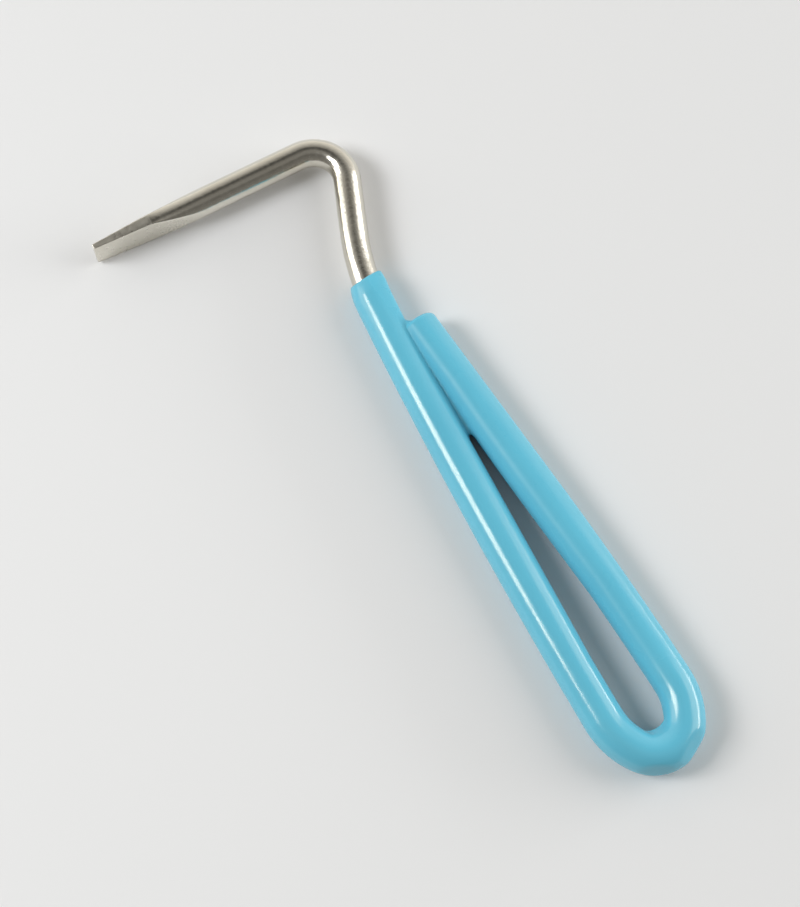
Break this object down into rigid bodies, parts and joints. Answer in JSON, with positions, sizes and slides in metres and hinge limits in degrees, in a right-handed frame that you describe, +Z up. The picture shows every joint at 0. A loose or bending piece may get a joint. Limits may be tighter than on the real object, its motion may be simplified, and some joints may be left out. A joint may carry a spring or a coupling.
{
  "type": "hoof pick",
  "caption": "Hoof pick bent from a single plated steel rod, with a chisel end for cleaning hooves and a vinyl dipped closed loop handle.",
  "frame": {"origin": "under the middle of the tool's bounding box, on the surface that the tool lies on", "axes": "the tool lies flat on its side: +Y runs along the handle towards the hook, the hook's arm points along -X, and +Z is up out of the plane of the bends"},
  "size_m": [0.063, 0.1566, 0.0085],
  "materials": {
    "nickel_plate": "bright nickel plating, slightly warm, with fine pitting",
    "blue_vinyl": "glossy dipped vinyl, light blue"
  },
  "bodies": {
    "root": {"steel_rod": "nickel_plate", "vinyl_grip": "blue_vinyl"}
  },
  "joints": []
}
